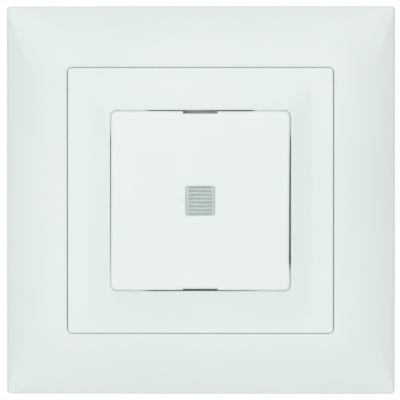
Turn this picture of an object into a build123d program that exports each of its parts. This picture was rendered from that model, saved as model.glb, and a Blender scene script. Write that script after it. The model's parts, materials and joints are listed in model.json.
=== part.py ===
"""An illuminated push button switch for a round flush box, with its frame, plate, button, insert and claws.

Lengths are millimetres. While it is modelled, x runs to the right, y up and z out of the wall, with z = 0 on
the wall's surface and the axis at the box's centre. write() turns it so that the front looks along -Y.
"""

import math
import os

from build123d import *

# Cover frame, around the 55 mm plate that these inserts share
frame_half = 80.5 / 2
frame_corner_r = 0.8
frame_rim_z = 5.0
frame_crown_z = 8.8
frame_wall = 1.9
frame_edge_r = 0.45
window_half = 27.61
window_corner_r = 1.1
window_edge_r = 0.3
window_wall = 1.8
ledge_half = 26.4
ledge_z = 6.8
ledge_thick = 1.2
dome_bulge_r = 6.7
dome_steps = 7

# Centre plate, flush with the frame, and its raised collar
plate_half = 27.5
plate_corner_r = 0.9
plate_z = frame_crown_z
plate_skin = 1.6
plate_skirt = 1.5
plate_edge_r = 0.25
collar_foot_half = 23.4
collar_foot_ends_half = 26.2
collar_foot_r = 4.0
collar_lip_half = 19.15
collar_lip_r = 1.7
collar_rise = 0.9
collar_ease = 0.2
collar_wall = 1.75
collar_back_z = 4.5
collar_steps = 7
opening_half = 18.65
opening_corner_r = 1.3
relief_left = 18.71
relief_right = 18.85
relief_top = 18.72
relief_bottom = 18.74
relief_side_half = 14.0
relief_end_half = 11.5
clip_x = 10.0
clip_half = 2.5
clip_inner_y = 24.5
clip_outer_y = 25.9
clip_tip_z = -2.0
clip_hook = 0.8
clip_hook_z = -0.2
clip_hook_low_z = -0.8
clip_hole_inwards = 0.9
clip_hole_outwards = 0.2
clip_hole_side = 0.5

# Push button and its lens
button_half = 37.1 / 2
button_corner_r = 1.2
button_edge_r = 0.45
button_z = 10.9
button_back_z = 6.2
button_wall = 1.4
button_top = 1.6
button_inner_r = 0.6
notch_half = 3.5
notch_depth = 0.36
lens_half = 3.0
lens_corner_r = 0.35
lens_play = 0.03
lens_recess = 0.1
lens_flange_half = 4.0
lens_flange_r = 0.3
lens_collar_wall = 1.0
lens_back_z = 8.4
rib_pitch = 0.79
rib_count = 6
rib_half_length = 2.28
rib_groove_half = 0.18
rib_groove_depth = 0.25
hook_x = 9.0
hook_half = 1.5
hook_y = 12.0
hook_thick = 1.1
hook_reach = 0.5
hook_head = 0.9
hook_play = 0.2
pad_x = 12.5
pad_y = 6.0
pad_r = 1.2

# Actuator behind the button
slider_half = 15.0
slider_corner_r = 2.0
slider_low_z = 4.0
slider_high_z = 6.0
slider_hole_r = 5.3
post_at = 13.0
post_r = 1.8
post_play = 0.05
post_tip_z = -8.0
tappet_y = -8.5
tappet_half_x = 1.8
tappet_r = 1.2
tappet_gap = 0.1
tappet_play = 0.2
post_guide_wall = 1.1
post_guide_z = -6.0

# Return springs
spring_x = 12.8
spring_wire_r = 0.25
spring_r = 2.25
spring_turns = 7
spring_cup_r = 2.8
spring_floor_z = -7.0
spring_seat_gap = 0.01
spigot_r = 1.8
spigot_length = 1.2

# Support ring of sheet steel
ring_half = 35.4
ring_corner_r = 3.0
ring_thick = 1.2
ring_window_half = 17.3
ring_window_r = 1.8
box_screw_at = 30.0
slot_r = 1.75
slot_length = 5.6
rivet_x = 14.0
rivet_y = 19.5
rivet_r = 1.2
rivet_head_r = 1.9
rivet_head = 0.7

# Insulated housing
housing_half_x = 18.5
housing_half_y = 23.5
housing_corner_r = 3.0
housing_wall = 1.6
housing_split_z = -2.5
housing_back_z = -24.0
housing_floor_z = housing_back_z + housing_wall
boss_half = 17.0
boss_corner_r = 1.5
boss_z = ring_thick
screw_boss_r = 2.6
screw_boss_z = -12.0
base_screw_r = 0.9
base_screw_play = 0.2
base_screw_head_r = 1.9
base_screw_sink_r = 2.1
base_screw_sink = 0.2
base_screw_head_gap = 0.1
base_screw_slot_half = 0.3
base_screw_slot = 0.6
base_screw_grip = 2.0
spring_cup_wall = 1.0
cup_floor = 1.0

# Plug-in glow lamp
lamp_socket_r = 4.55
lamp_socket_wall = 1.2
lamp_floor_z = -8.0
lamp_holder_r = 4.5
lamp_holder_top_z = 0.9
lamp_holder_wall = 0.8
lamp_holder_floor = 1.0
lamp_holder_top = 0.9
lamp_glass_r = 2.5
lamp_glass_wall = 0.5
lamp_glass_low_z = -1.0
lamp_glass_dome_z = 3.0
lamp_pin_x = 3.0
lamp_pin_r = 0.5
lamp_pin_tip_z = -13.0
lamp_pin_top_z = -5.5
lamp_pin_play = 0.1
electrode_x = 0.9
electrode_r = 0.3
electrode_low_z = -4.9
resistor_half = 2.0
resistor_z = -5.8
resistor_r = 0.8

# Contact lever, turned about its pin by the tappet
pivot_y = 10.0
pivot_z = -12.0
pivot_r = 0.6
lever_half_x = 1.9
lever_half_thick = 0.4
lever_tip_y = -14.8
lever_eye_r = 1.1
lever_play = 0.05
contact_y = -13.3
contact_r = 1.5
contact_thick = 0.8
fixed_contact_z = -16.65
ear_inner_x = 2.1
ear_outer_x = 2.9
ear_half_y = 1.2
ear_r = 1.2
strip_drop = 3.5
strip_thick = 0.8
pivot_seat_y = (9.0, 12.0)
fixed_seat_x = 2.5
fixed_seat_y = (-14.6, -12.0)
contact_spring_y = -2.0
contact_spring_r = 1.5
contact_spring_wire_r = 0.2
contact_spring_turns = 7
contact_spigot_r = 1.1
contact_spigot = 1.5

# Terminals: stamped rails, leaf springs, wire entries and release keys
rail_inner_y = 17.7
rail_thick = 1.0
rail_low_z = -20.4
rail_high_z = -12.0
rail_half_x = 15.0
arm_inner_x = 3.1
arm_outer_x = 4.7
arm_low_z = -13.0
arm_half_y = 1.1
arm_tip_x = 2.2
rail_part_x = 3.2
hinge_strip_y = 8.8
tongue_x = (-8.0, -3.5)
tongue_y = (-14.9, -14.1)
tongue_z = (-16.9, -16.1)
anvil_x = (-8.0, 1.8)
anvil_y = (-14.9, -12.0)
wire_x = 11.0
wire_y = 16.5
wire_r = 1.5
wire_boss_r = 3.0
wire_boss_z = -20.6
wire_mouth = 0.4
leaf_rib_half_x = 2.0
leaf_rib_y = (11.6, 12.8)
stay_x = (6.0, 7.5)
stay_top_z = -13.0
leaf_thick = 0.4
leaf_inner_x = 8.6
leaf_outer_x = 12.6
leaf_bend_r = 0.6
leaf_path = ((13.0, -12.5), (13.0, -19.8), (14.4, -19.8), (17.3, -14.6))
key_half_x = 2.5
key_inner_y = 15.1
key_outer_y = 17.4
key_play = 0.15
key_low_z = -25.5
key_high_z = -17.6
key_finger_x = 9.5
key_finger_y = 16.2
key_finger_low_z = -20.2
key_finger_high_z = -18.6
key_slot_half_x = 1.6
key_slot_y = (15.95, 16.55)
key_slot = 0.8

# Fixing claws: each hangs on a pin, and its screw draws a barrel nut up under its tab
claw_pin_x = 20.0
claw_pin_z = -2.5
claw_pin_r = 0.6
claw_play = 0.05
claw_barrel_r = 1.15
claw_half_y = 6.0
claw_half_thick = 0.5
claw_length = 18.0
claw_fork_half_y = 2.3
claw_fork = (8.4, 15.2)
claw_tab_low = -5.0
claw_tab_reach = 7.2
claw_tab_half_y = 4.2
claw_slot_reach = (1.45, 6.3)
claw_slot_play = 0.25
claw_tip_reach = 3.0
claw_tip_drop = (17.6, 18.4, 19.6, 20.6)
claw_tip_width = 0.6
claw_tooth_pitch = 2.4
claw_tooth_half = 0.8
claw_tooth_root = 1.7
claw_teeth = 5
claw_screw_x = 24.5
claw_screw_r = 1.5
claw_screw_head_r = 2.5
claw_screw_head = 2.0
claw_screw_gap = 0.05
claw_screw_tip_z = -16.0
claw_screw_slot_half = 0.4
claw_screw_slot = 1.0
claw_screw_hole_play = 0.2
claw_nut_r = 2.0
claw_nut_half_y = 3.8
claw_nut_z = claw_pin_z + claw_tab_low - claw_nut_r - claw_play
claw_ear_inner_y = 6.2
claw_ear_outer_y = 7.2
claw_ear_r = 1.1
claw_pin_head = 0.4
claw_pin_head_rim = 0.3


# Basic shapes
def oblong(half_x, half_y, corner_r, z):
    return Pos(0, 0, z) * RectangleRounded(2 * half_x, 2 * half_y, corner_r)


def square(half, corner_r, z):
    return oblong(half, half, corner_r, z)


def square_block(half, corner_r, low_z, high_z):
    return extrude(square(half, corner_r, low_z), high_z - low_z)


def rounded_block(half_x, half_y, corner_r, low_z, high_z):
    return extrude(oblong(half_x, half_y, corner_r, low_z), high_z - low_z)


def block(x, y, z):
    """A box from three pairs of limits."""
    centre = Pos(sum(x) / 2, sum(y) / 2, sum(z) / 2)
    return centre * Box(x[1] - x[0], y[1] - y[0], z[1] - z[0])


def upright(x, y, radius, low_z, high_z):
    return Pos(x, y, (low_z + high_z) / 2) * Cylinder(radius, high_z - low_z)


def along_x(x, y, z, radius):
    """A round bar along x, from a pair of x limits."""
    return Pos(sum(x) / 2, y, z) * Rot(0, 90, 0) * Cylinder(radius, x[1] - x[0])


def along_y(x, y, z, radius):
    """A round bar along y, from a pair of y limits."""
    return Pos(x, sum(y) / 2, z) * Rot(90, 0, 0) * Cylinder(radius, y[1] - y[0])


def corners(x, y):
    """The four places that mirror one place in both axes."""
    return [(sx * x, sy * y) for sx in (-1, 1) for sy in (-1, 1)]


def all_of(shapes):
    """One shape of several."""
    total = shapes[0]
    for shape in shapes[1:]:
        total = total + shape
    return total


def spring(x, y, low_z, high_z, radius, wire_r, turns):
    """A wound spring between two seats."""
    height = high_z - low_z - 2 * (wire_r + spring_seat_gap)
    path = Helix(pitch=height / turns, height=height, radius=radius)
    wire = Plane(origin=path @ 0, z_dir=path % 0) * Circle(wire_r)
    least_gap(path, wire_r, turns)
    return Pos(x, y, low_z + wire_r + spring_seat_gap) * sweep(wire, path=path)


def least_gap(path, wire_r, turns):
    """Prints the least gap between a coil's turns, from points along its centre line."""
    per_turn = 24
    points = [path @ (i / (turns * per_turn)) for i in range(turns * per_turn + 1)]
    gaps = []
    for i, point in enumerate(points):
        for other in points[i + per_turn // 2 :]:
            gaps.append((point - other).length - 2 * wire_r)
    print("least gap between turns", round(min(gaps), 2), "mm")


# Cover frame
def dome_z(half, inset=0.0):
    """The frame's front: an arc that is level at the window and falls towards the rim."""
    run = frame_half - window_half
    drop = frame_crown_z - frame_rim_z
    radius = (run**2 + drop**2) / (2 * drop) - inset
    return frame_crown_z - inset - radius + math.sqrt(radius**2 - (half - window_half) ** 2)


def dome_corner(half):
    """The corner radius of the dome's level lines, which swell between the window and the rim."""
    share = (half - window_half) / (frame_half - window_half)
    edge = window_corner_r + (frame_corner_r - window_corner_r) * share
    return edge + dome_bulge_r * math.sin(math.pi * share**1.5)


def dome(low_half, high_half, inset=0.0, tighter=0.0):
    """The space under the dome, or under its inner face, between two sizes of its level squares."""
    levels = []
    for step in range(dome_steps):
        half = low_half + (high_half - low_half) * (1 - step / (dome_steps - 1))
        radius = max(dome_corner(half) - tighter, frame_corner_r)
        levels.append(square(half, radius, dome_z(half, inset)))
    return loft(levels)


def rim_level(angle):
    """A level line on the small round between the frame's side and its dome, which it meets at 60 degrees."""
    turn = math.radians(angle)
    top = math.radians(60)
    low_z = dome_z(frame_half - frame_edge_r) - frame_edge_r
    inwards = (1 - math.cos(turn)) / (1 - math.cos(top))
    upwards = math.sin(turn) / math.sin(top)
    return square(frame_half - frame_edge_r * inwards, frame_corner_r, low_z + frame_edge_r * upwards)


def cover_frame():
    cavity_half = frame_half - frame_wall
    edge_low_z = dome_z(frame_half - frame_edge_r) - frame_edge_r
    shell = square_block(frame_half, frame_corner_r, 0, edge_low_z)
    shell += loft([rim_level(angle) for angle in (0, 30, 60)], ruled=True)
    shell += dome(window_half, frame_half - frame_edge_r)
    wall_half = window_half + window_wall
    cavity = square_block(cavity_half, frame_corner_r, -1, dome_z(cavity_half, frame_wall))
    cavity += dome(wall_half, cavity_half, frame_wall, frame_wall)
    cavity -= square_block(wall_half + 0.01, window_corner_r, ledge_z - ledge_thick, frame_crown_z)
    shell -= cavity
    shell -= square_block(window_half, window_corner_r, ledge_z, frame_crown_z + 1)
    shell -= square_block(ledge_half, window_corner_r, -1, ledge_z + 1)
    mouth = [e for e in shell.edges() if abs(e.bounding_box().min.Z - frame_crown_z) < 0.01]
    return fillet(mouth, window_edge_r)


# Centre plate
def collar():
    """The flare rises from the plate to the square lip round the button, more gently at the top and bottom."""
    levels = []
    for step in range(collar_steps):
        share = step / (collar_steps - 1)
        half_x = collar_foot_half + (collar_lip_half - collar_foot_half) * share
        half_y = collar_foot_ends_half + (collar_lip_half - collar_foot_ends_half) * share
        radius = collar_foot_r + (collar_lip_r - collar_foot_r) * share
        rise = collar_rise * share**2 * (1 + collar_ease) / (share + collar_ease)
        levels.append(oblong(half_x, half_y, radius, plate_z + rise))
    return loft(levels)


def centre_plate():
    plate = square_block(plate_half, plate_corner_r, ledge_z, plate_z)
    brim = [e for e in plate.edges() if abs(e.bounding_box().min.Z - plate_z) < 0.01]
    plate = fillet(brim, plate_edge_r)
    hollow_half = plate_half - plate_skirt
    plate -= square_block(hollow_half, plate_corner_r, ledge_z - 1, plate_z - plate_skin)
    plate += collar()
    plate += square_block(opening_half + collar_wall, opening_corner_r, collar_back_z, plate_z)
    plate -= square_block(opening_half, opening_corner_r, 0, plate_z + 2)
    tall = (0, plate_z + 2)
    plate -= block((-relief_left, relief_right), (-relief_side_half, relief_side_half), tall)
    plate -= block((-relief_end_half, relief_end_half), (-relief_bottom, relief_top), tall)
    return all_of([plate] + [plate_clip(x, side) for x in (-clip_x, clip_x) for side in (-1, 1)])


def plate_clip(x, side):
    """A leg that hooks behind the support ring."""
    top_z = plate_z - plate_skin
    leg = block((x - clip_half, x + clip_half), (clip_inner_y, clip_outer_y), (clip_tip_z, top_z))
    hook = Polyline(
        (clip_outer_y, clip_hook_z),
        (clip_outer_y + clip_hook, clip_hook_z),
        (clip_outer_y + clip_hook, clip_hook_low_z),
        (clip_outer_y, clip_tip_z),
        close=True,
    )
    barb = extrude(Plane.YZ.offset(x - clip_half) * make_face(hook), 2 * clip_half)
    leg += barb
    return leg if side > 0 else mirror(leg, Plane.XZ)


# Push button and lens
def push_button():
    cap = square_block(button_half, button_corner_r, button_back_z, button_z)
    brim = [e for e in cap.edges() if abs(e.bounding_box().min.Z - button_z) < 0.01]
    cap = fillet(brim, button_edge_r)
    under_z = button_z - button_top
    cap -= square_block(button_half - button_wall, button_inner_r, button_back_z - 1, under_z)
    for side in (-1, 1):
        edge_y = sorted((side * (button_half - notch_depth), side * (button_half + 1)))
        cap -= block((-notch_half, notch_half), edge_y, (button_back_z - 1, button_z + 1))
    cap += square_block(lens_flange_half + lens_collar_wall, button_inner_r, lens_back_z, under_z)
    cap -= square_block(lens_flange_half + lens_play, lens_flange_r, lens_back_z - 1, under_z)
    cap -= square_block(lens_half + lens_play, lens_corner_r, lens_back_z, button_z + 1)
    for x, y in corners(pad_x, pad_y):
        cap += upright(x, y, pad_r, slider_high_z, under_z)
    return all_of([cap] + [button_hook(x, side) for x in (-hook_x, hook_x) for side in (-1, 1)])


def button_hook(x, side):
    """A leg that snaps into the actuator's plate."""
    outer = hook_y + hook_thick
    step_z = slider_low_z + hook_head
    leg = block((x - hook_half, x + hook_half), (hook_y, outer), (slider_low_z, button_z - button_top))
    leg += block((x - hook_half, x + hook_half), (outer, outer + hook_reach), (slider_low_z, step_z))
    return leg if side > 0 else mirror(leg, Plane.XZ)


def button_lens():
    front_z = button_z - lens_recess
    lens = square_block(lens_half, lens_corner_r, lens_back_z, front_z)
    lens += square_block(lens_flange_half, lens_flange_r, lens_back_z + lens_recess, button_z - button_top)
    outline = Polyline(
        (-rib_groove_half, front_z + 0.01),
        (rib_groove_half, front_z + 0.01),
        (0, front_z - rib_groove_depth),
        close=True,
    )
    groove = extrude(Plane.YZ.offset(-rib_half_length) * make_face(outline), 2 * rib_half_length)
    for i in range(rib_count):
        lens -= Pos(0, (i - (rib_count - 1) / 2) * rib_pitch, 0) * groove
    return lens


# Actuator and its springs
def actuator():
    slider = square_block(slider_half, slider_corner_r, slider_low_z, slider_high_z)
    slider -= upright(0, 0, slider_hole_r, slider_low_z - 1, slider_high_z + 1)
    for x, y in corners(post_at, post_at):
        slider += upright(x, y, post_r, post_tip_z, slider_low_z)
    for side in (-1, 1):
        slider += upright(side * spring_x, 0, spigot_r, slider_low_z - spigot_length, slider_low_z)
    nose_z = pivot_z + lever_half_thick + tappet_r + tappet_gap
    tappet_y_limits = (tappet_y - tappet_r, tappet_y + tappet_r)
    slider += block((-tappet_half_x, tappet_half_x), tappet_y_limits, (nose_z, slider_low_z))
    slider += along_x((-tappet_half_x, tappet_half_x), tappet_y, nose_z, tappet_r)
    for x in (-hook_x, hook_x):
        for side in (-1, 1):
            slider -= hook_slot(x, side)
    return slider


def hook_slot(x, side):
    """The stepped slot that one of the button's legs snaps into."""
    half = hook_half + hook_play / 2
    inner_y = hook_y - hook_play
    outer_y = hook_y + hook_thick + hook_play
    slot = block((x - half, x + half), (inner_y, outer_y), (0, slider_high_z + 1))
    step_z = slider_low_z + hook_head + hook_play / 4
    slot += block((x - half, x + half), (inner_y, outer_y + hook_reach + hook_play / 2), (0, step_z))
    return slot if side > 0 else mirror(slot, Plane.XZ)


def return_spring(side):
    return spring(
        side * spring_x, 0, spring_floor_z, slider_low_z, spring_r, spring_wire_r, spring_turns
    )


# Support ring and rivets
def support_ring():
    ring = square_block(ring_half, ring_corner_r, 0, ring_thick)
    ring -= square_block(ring_window_half, ring_window_r, -1, ring_thick + 1)
    slot = extrude(Pos(0, 0, -1) * SlotOverall(slot_length, 2 * slot_r), ring_thick + 2)
    for turn in range(4):
        ring -= Rot(0, 0, 90 * turn) * Pos(box_screw_at, 0, 0) * slot
    for side in (-1, 1):
        ring -= upright(side * claw_screw_x, 0, claw_screw_r + claw_screw_hole_play, -1, ring_thick + 1)
    for x, y in corners(rivet_x, rivet_y):
        ring -= upright(x, y, rivet_r, -1, ring_thick + 1)
    hole_half = clip_half + clip_hole_side
    for x, side in corners(clip_x, 1):
        y = sorted((side * (clip_inner_y - clip_hole_inwards), side * (clip_outer_y + clip_hole_outwards)))
        ring -= block((x - hole_half, x + hole_half), y, (-1, ring_thick + 1))
    for x, side in corners(claw_pin_x, 1):
        y = sorted((side * claw_ear_inner_y, side * claw_ear_outer_y))
        ear = block((x - claw_ear_r, x + claw_ear_r), y, (claw_pin_z, 0))
        ear += along_y(x, y, claw_pin_z, claw_ear_r)
        ring += ear - along_y(x, y, claw_pin_z, claw_pin_r)
    return ring


def ring_rivets():
    rivets = []
    for x, y in corners(rivet_x, rivet_y):
        rivet = upright(x, y, rivet_r, housing_split_z - rivet_head, ring_thick + rivet_head)
        rivet += upright(x, y, rivet_head_r, ring_thick, ring_thick + rivet_head)
        rivet += upright(x, y, rivet_head_r, housing_split_z - rivet_head, housing_split_z)
        rivets.append(rivet)
    return rivets


# Housing
def housing_cover():
    cover = rounded_block(housing_half_x, housing_half_y, housing_corner_r, housing_split_z, 0)
    cover += square_block(boss_half, boss_corner_r, 0, boss_z)
    cover += upright(0, 0, lamp_socket_r + lamp_socket_wall, lamp_floor_z - cup_floor, 0)
    for side in (-1, 1):
        x = side * spring_x
        cover += upright(x, 0, spring_cup_r + spring_cup_wall, spring_floor_z - cup_floor, 0)
        cover += upright(x, 0, screw_boss_r, screw_boss_z, spring_floor_z)
        cover -= upright(x, 0, spring_cup_r, spring_floor_z, boss_z + 1)
        cover -= upright(x, 0, base_screw_r, screw_boss_z - 1, spring_floor_z - base_screw_grip)
        pin_hole_r = lamp_pin_r + lamp_pin_play
        cover -= upright(side * lamp_pin_x, 0, pin_hole_r, lamp_floor_z - 2, lamp_floor_z + 1)
    cover -= upright(0, 0, lamp_socket_r, lamp_floor_z, boss_z + 1)
    for x, y in corners(post_at, post_at):
        cover += upright(x, y, post_r + post_guide_wall, post_guide_z, 0)
        cover -= upright(x, y, post_r + post_play, post_guide_z - 1, boss_z + 1)
    slot_x = (-tappet_half_x - tappet_play, tappet_half_x + tappet_play)
    slot_y = (tappet_y - tappet_r - tappet_play, tappet_y + tappet_r + tappet_play)
    cover -= block(slot_x, slot_y, (housing_split_z - 1, boss_z + 1))
    for x, y in corners(rivet_x, rivet_y):
        cover -= upright(x, y, rivet_r, housing_split_z - 1, 1)
    return cover


def housing_base():
    half_x = housing_half_x - housing_wall
    half_y = housing_half_y - housing_wall
    corner_r = housing_corner_r - housing_wall
    base = rounded_block(housing_half_x, housing_half_y, housing_corner_r, housing_back_z, housing_split_z)
    base -= rounded_block(half_x, half_y, corner_r, housing_floor_z, 0)
    sink_z = housing_floor_z - base_screw_head_gap
    for x in (-spring_x, spring_x):
        base += upright(x, 0, screw_boss_r, housing_floor_z, screw_boss_z)
        base -= upright(x, 0, base_screw_r + base_screw_play, housing_back_z, screw_boss_z + 1)
        base -= upright(x, 0, base_screw_sink_r, housing_back_z - 1, sink_z)
    for x, y in corners(wire_x, wire_y):
        base += upright(x, y, wire_boss_r, housing_floor_z, wire_boss_z)
        base -= upright(x, y, wire_r, housing_back_z - 1, wire_boss_z + 1)
        mouth = Cone(wire_r + wire_mouth, wire_r, wire_mouth)
        base -= Pos(x, y, housing_back_z + wire_mouth / 2) * mouth
        side = math.copysign(1, y)
        prop_z = (housing_floor_z, stay_top_z)
        rib_x = (x - leaf_rib_half_x, x + leaf_rib_half_x)
        base += block(rib_x, sorted(side * edge for edge in leaf_rib_y), prop_z)
        stay_y = sorted((side * (rail_inner_y + rail_thick), side * half_y))
        base += block(sorted(math.copysign(edge, x) for edge in stay_x), stay_y, prop_z)
    for side in (-1, 1):
        y = sorted((side * (key_inner_y - key_play), side * (key_outer_y + key_play)))
        x = (-key_half_x - key_play, key_half_x + key_play)
        base -= block(x, y, (housing_back_z - 1, housing_floor_z + 1))
    fixed_seat_z = (housing_floor_z, fixed_contact_z - 2 * contact_thick)
    base += block((-fixed_seat_x, fixed_seat_x), fixed_seat_y, fixed_seat_z)
    base += block((-ear_outer_x, ear_outer_x), pivot_seat_y, (housing_floor_z, pivot_z - strip_drop))
    spigot_z = housing_floor_z + contact_spigot
    base += upright(0, contact_spring_y, contact_spigot_r, housing_floor_z, spigot_z)
    return base


def base_screws():
    screws = []
    head_z = housing_back_z + base_screw_sink
    tip_z = spring_floor_z - base_screw_grip - base_screw_play
    for x in (-spring_x, spring_x):
        screw = upright(x, 0, base_screw_r, head_z, tip_z)
        screw += upright(x, 0, base_screw_head_r, head_z, housing_floor_z - base_screw_head_gap)
        slot_x = (x - base_screw_head_r - 1, x + base_screw_head_r + 1)
        slot_y = (-base_screw_slot_half, base_screw_slot_half)
        screws.append(screw - block(slot_x, slot_y, (head_z - 1, head_z + base_screw_slot)))
    return screws


# Glow lamp
def lamp_holder():
    holder = upright(0, 0, lamp_holder_r, lamp_floor_z, lamp_holder_top_z)
    hollow_r = lamp_holder_r - lamp_holder_wall
    hollow_top_z = lamp_holder_top_z - lamp_holder_top
    holder -= upright(0, 0, hollow_r, lamp_floor_z + lamp_holder_floor, hollow_top_z)
    holder -= upright(0, 0, lamp_glass_r, hollow_top_z - 1, lamp_holder_top_z + 1)
    for side in (-1, 1):
        holder -= upright(side * lamp_pin_x, 0, lamp_pin_r, lamp_floor_z - 1, lamp_floor_z + 2)
    return holder


def lamp_bulb():
    inner_r = lamp_glass_r - lamp_glass_wall
    glass = upright(0, 0, lamp_glass_r, lamp_glass_low_z, lamp_glass_dome_z)
    glass += Pos(0, 0, lamp_glass_dome_z) * Sphere(lamp_glass_r)
    hollow = upright(0, 0, inner_r, lamp_glass_low_z + lamp_glass_wall, lamp_glass_dome_z)
    hollow += Pos(0, 0, lamp_glass_dome_z) * Sphere(inner_r)
    glass -= hollow
    for side in (-1, 1):
        glass -= upright(side * electrode_x, 0, electrode_r, lamp_glass_low_z - 1, 0)
    return glass


def lamp_electrodes():
    z = (electrode_low_z, lamp_glass_dome_z)
    return [upright(side * electrode_x, 0, electrode_r, *z) for side in (-1, 1)]


def lamp_resistor():
    return along_y(0, (-resistor_half, resistor_half), resistor_z, resistor_r)


def lamp_pins():
    z = (lamp_pin_tip_z, lamp_pin_top_z)
    return [upright(side * lamp_pin_x, 0, lamp_pin_r, *z) for side in (-1, 1)]


# Contacts
def contact_lever():
    lever = block(
        (-lever_half_x, lever_half_x),
        (lever_tip_y, pivot_y),
        (pivot_z - lever_half_thick, pivot_z + lever_half_thick),
    )
    lever += along_x((-lever_half_x, lever_half_x), pivot_y, pivot_z, lever_eye_r)
    bore_x = (-lever_half_x - 1, lever_half_x + 1)
    return lever - along_x(bore_x, pivot_y, pivot_z, pivot_r + lever_play)


def moving_contact():
    top_z = pivot_z - lever_half_thick
    return upright(0, contact_y, contact_r, top_z - contact_thick, top_z)


def fixed_contact():
    return upright(0, contact_y, contact_r, fixed_contact_z - contact_thick, fixed_contact_z)


def lever_pivot_pin():
    return along_x((-ear_outer_x, ear_outer_x), pivot_y, pivot_z, pivot_r)


def contact_spring():
    return spring(
        0,
        contact_spring_y,
        housing_floor_z,
        pivot_z - lever_half_thick,
        contact_spring_r,
        contact_spring_wire_r,
        contact_spring_turns,
    )


# Rails
def lamp_arm(side_x, side_y):
    """The strip from a rail to one of the lamp's pins."""
    x = sorted((side_x * arm_inner_x, side_x * arm_outer_x))
    z = (arm_low_z, rail_high_z)
    arm = block(x, sorted((side_y * rail_inner_y, -side_y * arm_half_y)), z)
    x = sorted((side_x * arm_tip_x, side_x * arm_outer_x))
    arm += block(x, (-arm_half_y, arm_half_y), z)
    return arm - upright(side_x * lamp_pin_x, 0, lamp_pin_r, arm_low_z - 1, rail_high_z + 1)


def rail(x, side_y):
    y = sorted((side_y * rail_inner_y, side_y * (rail_inner_y + rail_thick)))
    return block(x, y, (rail_low_z, rail_high_z))


def live_rail():
    whole = rail((-rail_half_x, rail_half_x), 1) + lamp_arm(-1, 1)
    strip_low = pivot_z - strip_drop
    strip_y = (hinge_strip_y, rail_inner_y)
    whole += block((-ear_outer_x, ear_outer_x), strip_y, (strip_low, strip_low + strip_thick))
    ear_y = (pivot_y - ear_half_y, pivot_y + ear_half_y)
    for side in (-1, 1):
        x = sorted((side * ear_inner_x, side * ear_outer_x))
        ear = block(x, ear_y, (strip_low, pivot_z)) + along_x(x, pivot_y, pivot_z, ear_r)
        whole += ear - along_x(x, pivot_y, pivot_z, pivot_r)
    return whole


def switched_rail():
    low_z = fixed_contact_z - 2 * contact_thick
    arm = block(tongue_x, (-rail_inner_y, tongue_y[1]), tongue_z)
    arm += block(tongue_x, tongue_y, (low_z, tongue_z[1]))
    arm += block(anvil_x, anvil_y, (low_z, low_z + contact_thick))
    return rail((-rail_half_x, -rail_part_x), -1) + arm


def neutral_rail():
    return rail((rail_part_x, rail_half_x), -1) + lamp_arm(1, -1)


# Push-in terminals
def clamp_spring(side_x, side_y):
    """A leaf bent so that its free leg leans on the rail and bites a wire that is pulled."""
    path = FilletPolyline(*leaf_path, radius=leaf_bend_r)
    outline = trace(path, line_width=leaf_thick)
    leaf = extrude(Plane.YZ.offset(leaf_inner_x) * outline, leaf_outer_x - leaf_inner_x)
    if side_x < 0:
        leaf = mirror(leaf, Plane.YZ)
    return leaf if side_y > 0 else mirror(leaf, Plane.XZ)


def release_key(side):
    key = block((-key_half_x, key_half_x), (key_inner_y, key_outer_y), (key_low_z, key_high_z))
    finger_z = (key_finger_low_z, key_finger_high_z)
    key += block((-key_finger_x, key_finger_x), (key_finger_y, key_outer_y), finger_z)
    slot_z = (key_low_z - 1, key_low_z + key_slot)
    key -= block((-key_slot_half_x, key_slot_half_x), key_slot_y, slot_z)
    return key if side > 0 else mirror(key, Plane.XZ)


# Fixing claws, modelled on the right side and turned for the left
def on_side(shape, side):
    return shape if side > 0 else Rot(0, 0, 180) * shape


def claw(side):
    """A sheet claw: barrel, forked blade, tab for the nut and a toothed tip."""
    x = claw_pin_x
    z = claw_pin_z
    wide = (-claw_half_y, claw_half_y)
    inner_x = x - claw_half_thick
    outer_x = x + claw_half_thick
    body = block((inner_x, outer_x), wide, (z - claw_length, z)) + along_y(x, wide, z, claw_barrel_r)
    fork_z = (z - claw_fork[1], z - claw_fork[0])
    body -= block((inner_x - 1, outer_x + 1), (-claw_fork_half_y, claw_fork_half_y), fork_z)
    tab_z = (z + claw_tab_low, z + claw_tab_low + 2 * claw_half_thick)
    body += block((x, x + claw_tab_reach), (-claw_tab_half_y, claw_tab_half_y), tab_z)
    slot_half = claw_screw_r + claw_slot_play
    slot_x = (x + claw_slot_reach[0] + slot_half, x + claw_slot_reach[1] - slot_half)
    cut_z = (tab_z[0] - 1, tab_z[1] + 1)
    body -= block(slot_x, (-slot_half, slot_half), cut_z)
    for end in slot_x:
        body -= upright(end, 0, slot_half, *cut_z)
    high, inner, outer, low = [z - drop for drop in claw_tip_drop]
    tip_x = x + claw_tip_reach
    tip = Polyline(
        (inner_x, high),
        (outer_x, high),
        (tip_x, outer),
        (tip_x, low),
        (tip_x - claw_tip_width, low),
        (inner_x, inner),
        close=True,
    )
    body += extrude(Plane.XZ.offset(-claw_half_y) * make_face(tip), 2 * claw_half_y)
    for i in range(claw_teeth):
        y = (i - (claw_teeth - 1) / 2) * claw_tooth_pitch
        gap = Polyline(
            (tip_x + 0.2, y - claw_tooth_half),
            (tip_x + 0.2, y + claw_tooth_half),
            (x + claw_tooth_root, y),
            close=True,
        )
        body -= extrude(Pos(0, 0, low - 0.4) * make_face(gap), claw_tip_reach)
    body -= along_y(x, (-claw_half_y - 1, claw_half_y + 1), z, claw_pin_r + claw_play)
    return on_side(body, side)


def claw_pin(side):
    reach = (-claw_ear_outer_y, claw_ear_outer_y)
    pin = along_y(claw_pin_x, reach, claw_pin_z, claw_pin_r)
    for end in (-1, 1):
        y = sorted((end * claw_ear_outer_y, end * (claw_ear_outer_y + claw_pin_head)))
        pin += along_y(claw_pin_x, y, claw_pin_z, claw_pin_r + claw_pin_head_rim)
    return on_side(pin, side)


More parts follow.
